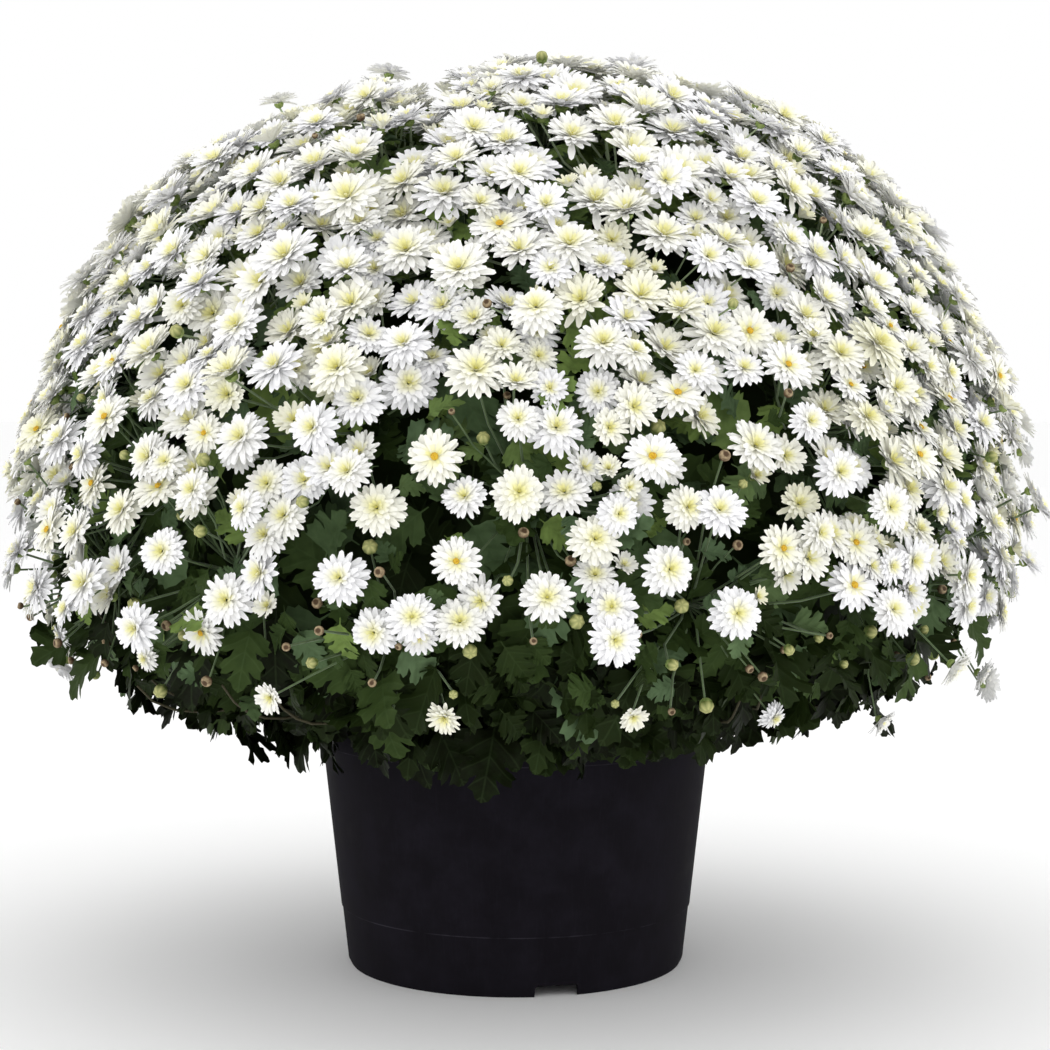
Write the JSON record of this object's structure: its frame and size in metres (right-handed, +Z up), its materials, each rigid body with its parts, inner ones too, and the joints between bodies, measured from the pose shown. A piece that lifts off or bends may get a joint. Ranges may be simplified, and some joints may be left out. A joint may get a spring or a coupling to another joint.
{
  "type": "pot chrysanthemum",
  "caption": "Ball-shaped white garden chrysanthemum in full bloom, standing in a squat black plastic nursery pot.",
  "frame": {"origin": "centre of the pot's foot, on the surface the pot stands on, on the pot's axis", "axes": "+Z up along the pot's axis, -Y towards the side the picture was taken from, +X to its right"},
  "size_m": [0.794, 0.7937, 0.7102],
  "materials": {
    "black_plastic": "matte, slightly scuffed",
    "peat": "loose damp peat and bark, matte",
    "leaf_green": "leaf, satin",
    "petal_white": "petal, matte"
  },
  "bodies": {
    "root": {"pot": "black_plastic", "potting_soil": "peat", "leafy_bush": "leaf_green", "flower_spray_01": "petal_white", "flower_spray_02": "petal_white", "flower_spray_03": "petal_white", "flower_spray_04": "petal_white", "flower_spray_05": "petal_white", "flower_spray_06": "petal_white", "flower_spray_07": "petal_white", "flower_spray_08": "petal_white", "flower_spray_09": "petal_white", "flower_spray_10": "petal_white", "flower_spray_11": "petal_white", "flower_spray_12": "petal_white", "flower_spray_13": "petal_white", "flower_spray_14": "petal_white", "flower_spray_15": "petal_white", "flower_spray_16": "petal_white", "flower_spray_17": "petal_white", "flower_spray_18": "petal_white", "flower_spray_19": "petal_white", "flower_spray_20": "petal_white", "flower_spray_21": "petal_white", "flower_spray_22": "petal_white", "flower_spray_23": "petal_white", "flower_spray_24": "petal_white", "flower_spray_25": "petal_white", "flower_spray_26": "petal_white", "flower_spray_27": "petal_white", "flower_spray_28": "petal_white", "flower_spray_29": "petal_white", "flower_spray_30": "petal_white", "flower_spray_31": "petal_white", "flower_spray_32": "petal_white", "flower_spray_33": "petal_white", "flower_spray_34": "petal_white", "flower_spray_35": "petal_white", "flower_spray_36": "petal_white", "flower_spray_37": "petal_white", "flower_spray_38": "petal_white", "flower_spray_39": "petal_white", "flower_spray_40": "petal_white", "flower_spray_41": "petal_white", "flower_spray_42": "petal_white", "flower_spray_43": "petal_white", "flower_spray_44": "petal_white", "flower_spray_45": "petal_white", "flower_spray_46": "petal_white", "flower_spray_47": "petal_white", "flower_spray_48": "petal_white", "flower_spray_49": "petal_white", "flower_spray_50": "petal_white", "flower_spray_51": "petal_white", "flower_spray_52": "petal_white"}
  },
  "joints": []
}
